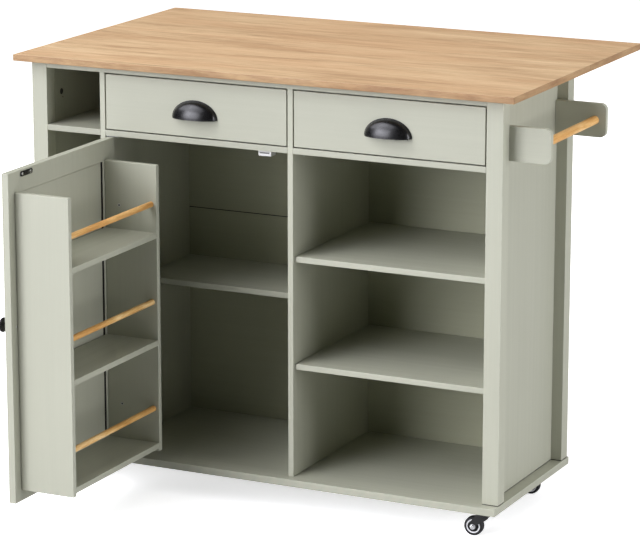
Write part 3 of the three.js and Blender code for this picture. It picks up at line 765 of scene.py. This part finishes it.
# the panel: a flat field, set back in the frame, with a groove left round it on both faces
y0, y1, z0, z1 = DY0 + FW, DY1 - HW, DZ0 + FW, DZ1 - FW
box(bm, DX0 + 7.0, DX0 + 8.0, y0 + 0.1, y1 - 0.1, z0 + 0.1, z1 - 0.1, r=0)
box(bm, DX0 + 4.6, DX0 + 11.0, y0 + 2.4, y1 - 1.2, z0 + 2.2, z1 - 2.2, r=0.5)
# shadow gap along the hinge stile, drawn as a black strip: painted shade
box(bm, DX0 + 6.9, DX1 - 1.0, y1 - 0.5, y1 - 0.05, z0 + 0.1, z1 - 0.1, r=0, mat=1)
done("door_panel_field", bm, [PZ, PAINTED_SHADE], "door", ("door_panel",))

RX0 = DX1 + 0.2
RX1 = RX0 + 125
for n in ("rack_end_free", "rack_end_hinge"):
    a, b = mm(n)
    q = 1.9
    # seen from above, with the two edges against the door rounded off
    plan = [(b.x, a.y), (b.x, b.y)] + arc(a.x + q, b.y - q, q, math.pi / 2, math.pi, 5) + arc(a.x + q, a.y + q, q, math.pi, 1.5 * math.pi, 5)
    bm = start()
    prism(bm, plan, Matrix.Translation((0, 0, a.z)), b.z - a.z, r=0)
    edges = [e for e in bm.edges if abs(e.verts[0].co.z - e.verts[1].co.z) < 1e-6 or max(v.co.x for v in e.verts) > b.x - 1e-6]
    out = bmesh.ops.bevel(bm, geom=edges, offset=0.7, segments=2, profile=0.5, affect="EDGES", clamp_overlap=True)
    for f in out["faces"]:
        f[wear_and_highlight(bm)] = 1.0
    # the face along the free edge is marked as well, so it is drawn paler: a painted highlight
    for f in bm.faces:
        if f.calc_center_median().x > b.x - 0.1:
            f[wear_and_highlight(bm)] = 1.0
    done(n + "_board", bm, PZ, "door", (n,))
for n in ("rack_shelf_upper", "rack_shelf_middle", "rack_shelf_lower"):
    board(n, PY, "door", r=0.7)
for n in ("upper", "middle", "lower"):
    a, b = mm(f"rack_dowel_{n}")
    c = (a + b) / 2
    bm = start()
    lathe(
        bm,
        [(0, 0), (5.6, 0), (6.25, 0.5), (6.25, b.y - a.y - 0.5), (5.6, b.y - a.y), (0, b.y - a.y)],
        along((0, 1, 0), (c.x, a.y, c.z)),
        40,
    )
    done(f"rack_dowel_{n}_rod", bm, DOWEL, "door", (f"rack_dowel_{n}",), weighted=False)

# screws that hold the rack and the knob
bm = start()
for x, z in ((-865, 560), (-865, 121.6)):
    for y, s in ((-16.4, -1), (-367.4, 1)):
        m = along((0, s, 0), (x, y, z))
        lathe(bm, [(0, -0.4), (3.5, -0.4), (3.5, 0.25), (3.1, 0.5), (2.3, 0.55), (2.1, 0.2), (0, 0.2)], m, 24)
        # the middle of each cup is drawn black: painted shade in its recess
        lathe(bm, [(0, 0.0), (2.05, 0.0), (2.0, 0.34), (0, 0.3)], m, 24, 1)
for z in (502.6, 267.5, 39):
    for x in (-880, -800):
        sunk(bm, (x, -4.4, z), (0, 1, 0), 2.4)
screw(bm, (DX1, -382.2, 375.5), (1, 0, 0), 2.1, 0.9)
done("door_screws", bm, [ZINC, PAINTED_SHADE], "door", weighted=False)

# strike plate of the magnetic catch, near the free top corner
bm = start()
m = Matrix.Translation((DX1 - 0.4, 0, 0)) @ YZ
prism(bm, rounded(-355.8, -308.4, 682.6, 693.4, 4.6), m, 1.9, r=0.4)
for y in (-347.5, -316.7):
    lathe(bm, [(0, 0), (3.4, 0), (3.4, 1.55), (2.9, 1.75), (1.1, 1.75), (0.9, 1.3), (0, 1.3)], along((1, 0, 0), (DX1 + 0.1, y, 688)), 24, 1)
done("door_strike_plate", bm, [BLACK, NUT], "door", weighted=False)

# knob
bm = start()
prof = [(0, -0.1), (7.6, -0.1), (8.0, 0.4), (7.7, 1.4), (6.2, 2.6), (5.2, 4.4), (5.0, 6.8), (5.5, 8.8), (7.4, 10.8), (10.6, 12.4), (13.6, 13.6),
        (15.2, 15.0), (15.5, 16.3), (15.1, 17.8), (13.4, 19.4), (10.2, 20.7), (6.2, 21.45), (2.8, 21.66), (0, 21.7)]
lathe(bm, prof, along((-1, 0, 0), (DX0 - 0.2, -381.5, 376)), 56)
done("door_round_knob", bm, BLACK, "door", ("door_knob",), angle=60, weighted=False)

# pivot hinges
AX, AY = -912.3, 24.5
for tag, zp, up in (("upper", 697.9, 1), ("lower", 0.2, -1)):
    bm = start()
    prism(bm, rounded(AX - 4.6, AX + 26, AY - 2.4, AY + 7, 2.2), Matrix.Translation((0, 0, zp)), 0.9, r=0.2, seg=1)
    if up > 0:
        rod(bm, (0, 0, -1), (AX, AY, zp + 0.4), 12, 2.5, 24)
        screw(bm, (AX + 18, AY + 2.3, zp), (0, 0, -1), 2.2, 0.7)
    else:
        rod(bm, (0, 0, 1), (AX, AY, zp + 0.4), 12, 2.5, 24)
        screw(bm, (AX + 18, AY + 2.3, zp + 0.9), (0, 0, 1), 2.2, 0.7)
    done(f"door_pivot_{tag}", bm, [DULL, PAINTED_SHADE], "cabinet", (f"door_hinge_{tag}",), weighted=False)

# magnetic catch under the middle deck
bm = start()
box(bm, -561, -531, 39.6, 62, 684.4, 698.9, r=1.2, seg=3, mat=0)
box(bm, -567, -525, 48, 56, 697.0, 698.9, r=0.5, seg=2, mat=0)
box(bm, -557.5, -534.5, 39.15, 41.5, 689.4, 690.7, r=0.2, seg=1, mat=1)
box(bm, -557.5, -534.5, 39.15, 41.5, 691.9, 693.2, r=0.2, seg=1, mat=1)
# the slot between the two plates is a black strip: painted shade
box(bm, -556.5, -535.5, 39.35, 41.5, 690.8, 691.8, r=0.1, seg=1, mat=2)
done("magnetic_catch", bm, [WHITE, CATCH, PAINTED_SHADE], "cabinet")

# ------------------------------------------------------------------ towel rail
for tag in ("front", "rear"):
    a, b = mm(f"towel_bracket_{tag}")
    bm = start()
    r = 13.0
    pts = [(a.x, a.z)] + arc(b.x - r, a.z + r, r, -math.pi / 2, 0, 12) + arc(b.x - r, b.z - r, r, 0, math.pi / 2, 12) + [(a.x, b.z)]
    prism(bm, pts, Matrix.Translation((0, b.y, 0)) @ XZ, b.y - a.y, r=0.8, seg=3)
    done(f"towel_bracket_{tag}_plate", bm, PX, "cabinet", (f"towel_bracket_{tag}",))
a, b = mm("towel_rail")
bm = start()
rod(bm, (0, 1, 0), (64, a.y, 757), b.y - a.y, 9.0, 48, 0.5)
done("towel_rail_rod", bm, DOWEL, "cabinet", ("towel_rail",), weighted=False)

# ------------------------------------------------------------------ leaf supports
SA, SY = 50.3, 402.0
for side, s, xa in (("right", -1, -SA), ("left", 1, -1098 + SA)):
    bm = start()
    near, far, top = xa + s * 3.5, xa + s * 248, 847.4
    tri = [(3.5, top), (3.5, top - 170), (248 - 9, top - 92.0 - 2.7), (248 - 2.6, top - 89.5), (248, top - 83), (248, top - 4), (246.8, top - 1.2), (244, top)]
    pts = [(xa + s * u, v) for u, v in tri]
    if s < 0:
        pts.reverse()
    pts.reverse()
    prism(bm, pts, Matrix.Translation((0, SY + 12.3, 0)) @ XZ, 12, r=0.8, seg=3)
    done(f"leaf_support_{side}_plate", bm, PX, f"support_{side}", (f"leaf_support_{side}",))
    bm = start()
    lathe(bm, [(1.9, 732.4), (2.8, 732.4), (3.0, 732.7), (3.0, 799.3), (2.8, 799.6), (1.9, 799.6)], Matrix.Translation((xa, SY, 0)), 24, closed=True)
    x0, x1 = sorted((xa + s * 2.3, xa + s * 5.0))
    box(bm, x0, x1, SY + 0.7, SY + 2.4, 732.6, 799.4, r=0.2, seg=1)
    done(f"support_{side}_knuckle", bm, [ZINC, PAINTED_SHADE], f"support_{side}", weighted=False)
    bm = start()
    for z0, z1 in ((700, 732.0), (800.0, 832)):
        lathe(bm, [(1.7, z0), (2.8, z0), (3.0, z0 + 0.3), (3.0, z1 - 0.3), (2.8, z1), (1.7, z1)], Matrix.Translation((xa, SY, 0)), 24, closed=True)
        x0, x1 = sorted((xa - s * 0.5, xa - s * 3.8))
        box(bm, x0, x1, SY - 3.05, SY - 2.0, z0, z1, r=0.1, seg=1)
    x0, x1 = sorted((xa - s * 3.6, xa - s * 12))
    box(bm, x0, x1, SY - 3.1, SY - 2.0, 700, 832, r=0.2, seg=1)
    rod(bm, (0, 0, 1), (xa, SY, 701), 130, 1.6, 16)
    for z in (712, 766, 820):
        screw(bm, (xa - s * 8.2, SY - 2.0, z), (0, 1, 0), 2.4, 0.8)
    done(f"support_{side}_hinge_flap", bm, [ZINC, PAINTED_SHADE], "cabinet", (f"support_hinge_{side}",), weighted=False)


# ------------------------------------------------------------------ casters
def caster(place):
    a, b = mm(f"caster_wheel_{place}")
    wc = (a + b) / 2
    joint = next(j for j in frame["joints"] if j["name"] == f"caster_{place}_swivel")
    spin = next(j for j in frame["joints"] if j["name"] == f"wheel_{place}_spin")
    inv = M0.inverted()
    sw = inv @ Vector(joint["pos_m"])
    wc = inv @ Vector(spin["pos_m"])
    head = Vector((wc.x - sw.x, wc.y - sw.y, 0)).normalized()
    trail = Vector((wc.x - sw.x, wc.y - sw.y, 0)).length
    ang = math.atan2(head.y, head.x)
    G = Matrix.Translation((sw.x, sw.y, -70)) @ Matrix.Rotation(ang, 4, "Z")  # u ahead of the swivel, w up
    W = Matrix.Translation((sw.x, sw.y, -70)) @ Matrix.Rotation(ang, 4, "Z") @ Matrix.Translation((trail, 0, 20.5))
    side = Matrix(((1, 0, 0, 0), (0, 0, -1, 0), (0, 1, 0, 0), (0, 0, 0, 1)))  # outline (u, v) to (along, up), w across

    bm = start()
    half = 10.1
    zw = 20.5
    # cheeks: pressed steel, wide at the crown and round about the axle
    top = 46.6
    cheek = (
        [(-14.2, top), (-15.0, top - 1.5), (-15.0, top - 4.2), (-11.5, top - 8.0), (1.5, zw + 9.5)]
        + arc(trail, zw, 8.0, math.pi * 0.83, math.pi * 2.12, 20)
        + [(trail + 7.8, zw + 7.0), (14.6, top - 3.6), (13.5, top)]
    )
    for k in (-1, 1):
        w0 = half if k > 0 else -half - 2.0
        m = G @ side @ Matrix.Translation((0, 0, w0))
        prism(bm, cheek, m, 2.0, r=0.45)
    crown = [(-14.6, -half - 1.6), (13.8, -half - 1.6), (13.8, half + 1.6), (-14.6, half + 1.6)]
    prism(bm, crown, G @ Matrix.Translation((0, 0, 44.4)), 2.2, r=0.5)
    lathe(bm, [(0, 44.8), (12.5, 44.8), (14.2, 45.8), (14.5, 47.4), (14.2, 49.6), (12.8, 51.2), (9.0, 51.6), (0, 51.6)], G, 40, edge_mark=(3, 4))
    lathe(bm, [(0, 41.8), (3.4, 41.8), (4.2, 42.4), (4.2, 44.6), (0, 44.6)], G, 24, mat=1)
    # axle, washers and nuts
    lathe(bm, [(0, -half - 3.8), (2.2, -half - 3.8), (2.6, -half - 3.4), (2.6, half + 3.4), (2.2, half + 3.8), (0, half + 3.8)], W @ side, 20, mat=1)
    for k in (-1, 1):
        hexa = [(4.9 * math.cos(math.pi / 3 * i + 0.3), 4.9 * math.sin(math.pi / 3 * i + 0.3)) for i in range(6)]
        w0 = half + 2.2 if k > 0 else -half - 4.9
        prism(bm, hexa, W @ side @ Matrix.Translation((0, 0, w0)), 2.7, r=0.35, mat=1)
        w0 = half + 1.9 if k > 0 else -half - 2.4
        prism(bm, [(6.0 * math.cos(math.pi / 12 * i), 6.0 * math.sin(math.pi / 12 * i)) for i in range(24)], W @ side @ Matrix.Translation((0, 0, w0)), 0.5, r=0.1, seg=1, mat=1)
    done(f"caster_{place}_fork_pressing", bm, [FORK, NUT], f"caster_{place}", (f"caster_fork_{place}",), angle=42, weighted=False)

    bm = start()
    r, w = 20.5, 8.5
    tyre = [(14.9, -w + 0.9), (15.6, -w + 0.1), (17.0, -w), (18.6, -w + 0.3), (19.8, -w + 1.6), (20.35, -w + 3.4), (20.5, -w + 5.4), (20.5, -0.9), (20.0, -0.5),
            (20.0, 0.5), (20.5, 0.9), (20.5, w - 5.4), (20.35, w - 3.4), (19.8, w - 1.6), (18.6, w - 0.3), (17.0, w), (15.6, w - 0.1), (14.9, w - 0.9), (14.2, w - 1.6), (14.2, -w + 1.6)]
    lathe(bm, tyre, W @ side, 56, mat=0, closed=True)
    hub = [(3.0, -9.4), (5.8, -9.4), (6.6, -8.8), (6.9, -6.0), (7.6, -5.2), (10.6, -5.2), (11.4, -5.9), (11.9, -7.6), (12.6, -8.2), (14.2, -8.2), (14.85, -7.6),
           (14.85, 7.6), (14.2, 8.2), (12.6, 8.2), (11.9, 7.6), (11.4, 5.9), (10.6, 5.2), (7.6, 5.2), (6.9, 6.0), (6.6, 8.8), (5.8, 9.4), (3.0, 9.4)]
    lathe(bm, hub, W @ side, 56, mat=2, closed=True)
    for f in bm.faces:
        if f.material_index == 2:
            c = (W @ side).inverted() @ f.calc_center_median()
            if math.hypot(c.x, c.y) > 11.95:
                f.material_index = 1
    for i in range(5):
        t = 2 * math.pi * i / 5
        for k in (-1, 1):
            m = W @ side @ Matrix.Rotation(t, 4, "Z")
            x0, x1 = sorted((k * 5.0, k * 8.0))
            pts = [(6.2, -0.8), (12.4, -0.8), (12.4, 0.8), (6.2, 0.8)]
            prism(bm, pts, m @ Matrix.Translation((0, 0, x0)), x1 - x0, r=0.25, seg=1, mat=2)
    done(f"caster_{place}_wheel_tyre", bm, [RUBBER, HUB, WEB], f"wheel_{place}", (f"caster_wheel_{place}",), angle=40, weighted=False)

    # mounting plate under the board, with four screws, and the fixed race
    bm = start()
    P = Matrix.Translation((sw.x, sw.y, 0))
    q = 22.5
    prism(bm, rounded(-q, q, -q, q, 3.5), P @ Matrix.Translation((0, 0, -18.1)), 2.0, r=0.4)
    for u in (-17, 17):
        for v in (-17, 17):
            screw(bm, (sw.x + u, sw.y + v, -18.1), (0, 0, -1), 3.3, 1.2, mat=1, dark=2, turn=u * 0.1)
    lathe(bm, [(0, -18.2), (11.6, -18.2), (12.2, -18.0), (12.2, -16.4), (0, -16.4)], P, 40)
    done(f"caster_{place}_plate", bm, [FORK, NUT, PAINTED_SHADE], "cabinet", angle=40, weighted=False)


for p in ("front_right", "back_right", "front_left", "back_left"):
    caster(p)

# ------------------------------------------------------------------ stage, light and camera
floor_mat = Mat("pale_floor")
fp = floor_mat.coords(0.0)
fn = floor_mat.noise(fp, (3.0, 3.0, 3.0), 3.0, 0.5)
lp = floor_mat.t.nodes.new("ShaderNodeLightPath")
pale = floor_mat.mix(fn, (0.88, 0.88, 0.875), (0.90, 0.90, 0.895))
floor_mat.link(floor_mat.mix(lp.outputs["Is Camera Ray"], (0.55, 0.55, 0.54), pale), floor_mat.b.inputs["Base Color"])
floor_mat.b.inputs["Roughness"].default_value = 0.9
floor_mat.b.inputs["Specular IOR Level"].default_value = 0.1
floor_mat.b.inputs["Emission Color"].default_value = (1, 1, 1, 1)
away = floor_mat.vmath("LENGTH", fp)
far = floor_mat.maprange(away, 1.0, 3.2, 0.66, 1.1)
floor_mat.link(floor_mat.math("MULTIPLY", lp.outputs["Is Camera Ray"], far), floor_mat.b.inputs["Emission Strength"])
bm = bmesh.new()
bmesh.ops.create_grid(bm, x_segments=1, y_segments=1, size=40)
me = bpy.data.meshes.new("floor")
bm.to_mesh(me)
bm.free()
me.materials.append(floor_mat.m)
floor = bpy.data.objects.new("floor", me)
floor.location = (0, 0, -0.0003)
SCENE.collection.objects.link(floor)

world = bpy.data.worlds.new("studio")
SCENE.world = world
world.use_nodes = True
bg = world.node_tree.nodes["Background"]
bg.inputs[0].default_value = (1.0, 1.0, 1.0, 1)
bg.inputs[1].default_value = 0.03
sky = world.node_tree.nodes.new("ShaderNodeBackground")
sky.inputs[0].default_value = (1.0, 1.0, 1.0, 1)
sky.inputs[1].default_value = 1.0
wmix = world.node_tree.nodes.new("ShaderNodeMixShader")
wlp = world.node_tree.nodes.new("ShaderNodeLightPath")
world.node_tree.links.new(wlp.outputs["Is Camera Ray"], wmix.inputs[0])
world.node_tree.links.new(bg.outputs[0], wmix.inputs[1])
world.node_tree.links.new(sky.outputs[0], wmix.inputs[2])
world.node_tree.links.new(wmix.outputs[0], world.node_tree.nodes["World Output"].inputs["Surface"])


def area(name, azimuth, elevation, distance, size, power, target=(0.0, -0.1, 0.42), shine=True, beam=180, tint=(1, 1, 1)):
    """A soft square light. Azimuth 0 stands in front of the drawers, 90 at the towel rail side."""
    d = bpy.data.lights.new(name, "AREA")
    d.shape = "RECTANGLE"
    d.size, d.size_y = size
    d.energy = power
    d.color = tint
    d.spread = math.radians(beam)
    a, e = math.radians(azimuth), math.radians(elevation)
    back = Vector((math.sin(a) * math.cos(e), -math.cos(a) * math.cos(e), math.sin(e)))
    o = bpy.data.objects.new(name, d)
    o.location = Vector(target) + back * distance
    o.rotation_mode = "QUATERNION"
    o.rotation_quaternion = (-back).to_track_quat("-Z", "Y")
    o.visible_glossy = shine
    SCENE.collection.objects.link(o)
    return o


area("key_low", -34, 15, 4.5, (2.6, 2.2), 34, target=(0.68, -0.15, 0.33), beam=76, tint=(1.0, 1.0, 1.09))
area("key_high", -60, 45, 4.5, (2.8, 2.8), 106, tint=(1.0, 1.0, 1.08))
area("key_middle", -33, 45, 4.5, (2.8, 2.8), 21, target=(0.6, -0.15, 0.35), beam=80, tint=(1.0, 1.0, 1.09))
area("side_low", 90, 10, 4.5, (2.4, 2.2), 134, tint=(1.0, 1.0, 1.07))
area("side_high", 120, 50, 4.5, (2.2, 2.2), 12, tint=(1.0, 1.0, 1.05))
area("overhead", 0, 88, 4.0, (3.0, 2.6), 56, target=(0.0, 0.4, 0.42), shine=False)
area("back_fill", 165, 26, 4.8, (2.4, 2.0), 60, shine=False)
area("left_fill", -115, 18, 4.8, (2.2, 2.0), 45, shine=False)

SCENE.view_settings.view_transform = "Standard"
SCENE.view_settings.look = "None"
SCENE.view_settings.exposure = 0.0
SCENE.view_settings.gamma = 1.0

cam_data = bpy.data.cameras.new("camera")
cam = bpy.data.objects.new("camera", cam_data)
SCENE.collection.objects.link(cam)
cam_data.sensor_fit = "HORIZONTAL"
cam_data.sensor_width = 36.0
cam_data.lens = 36.0 * 3077.4 / 640.0
cam.location = (2.8379, -5.72355, 2.0473)
yaw, pitch = math.radians(-26.017), math.radians(13.787)
ahead = Vector((math.sin(yaw) * math.cos(pitch), math.cos(yaw) * math.cos(pitch), -math.sin(pitch)))
cam.rotation_mode = "QUATERNION"
cam.rotation_quaternion = ahead.to_track_quat("-Z", "Y")
cam_data.clip_start, cam_data.clip_end = 0.1, 200.0
SCENE.camera = cam
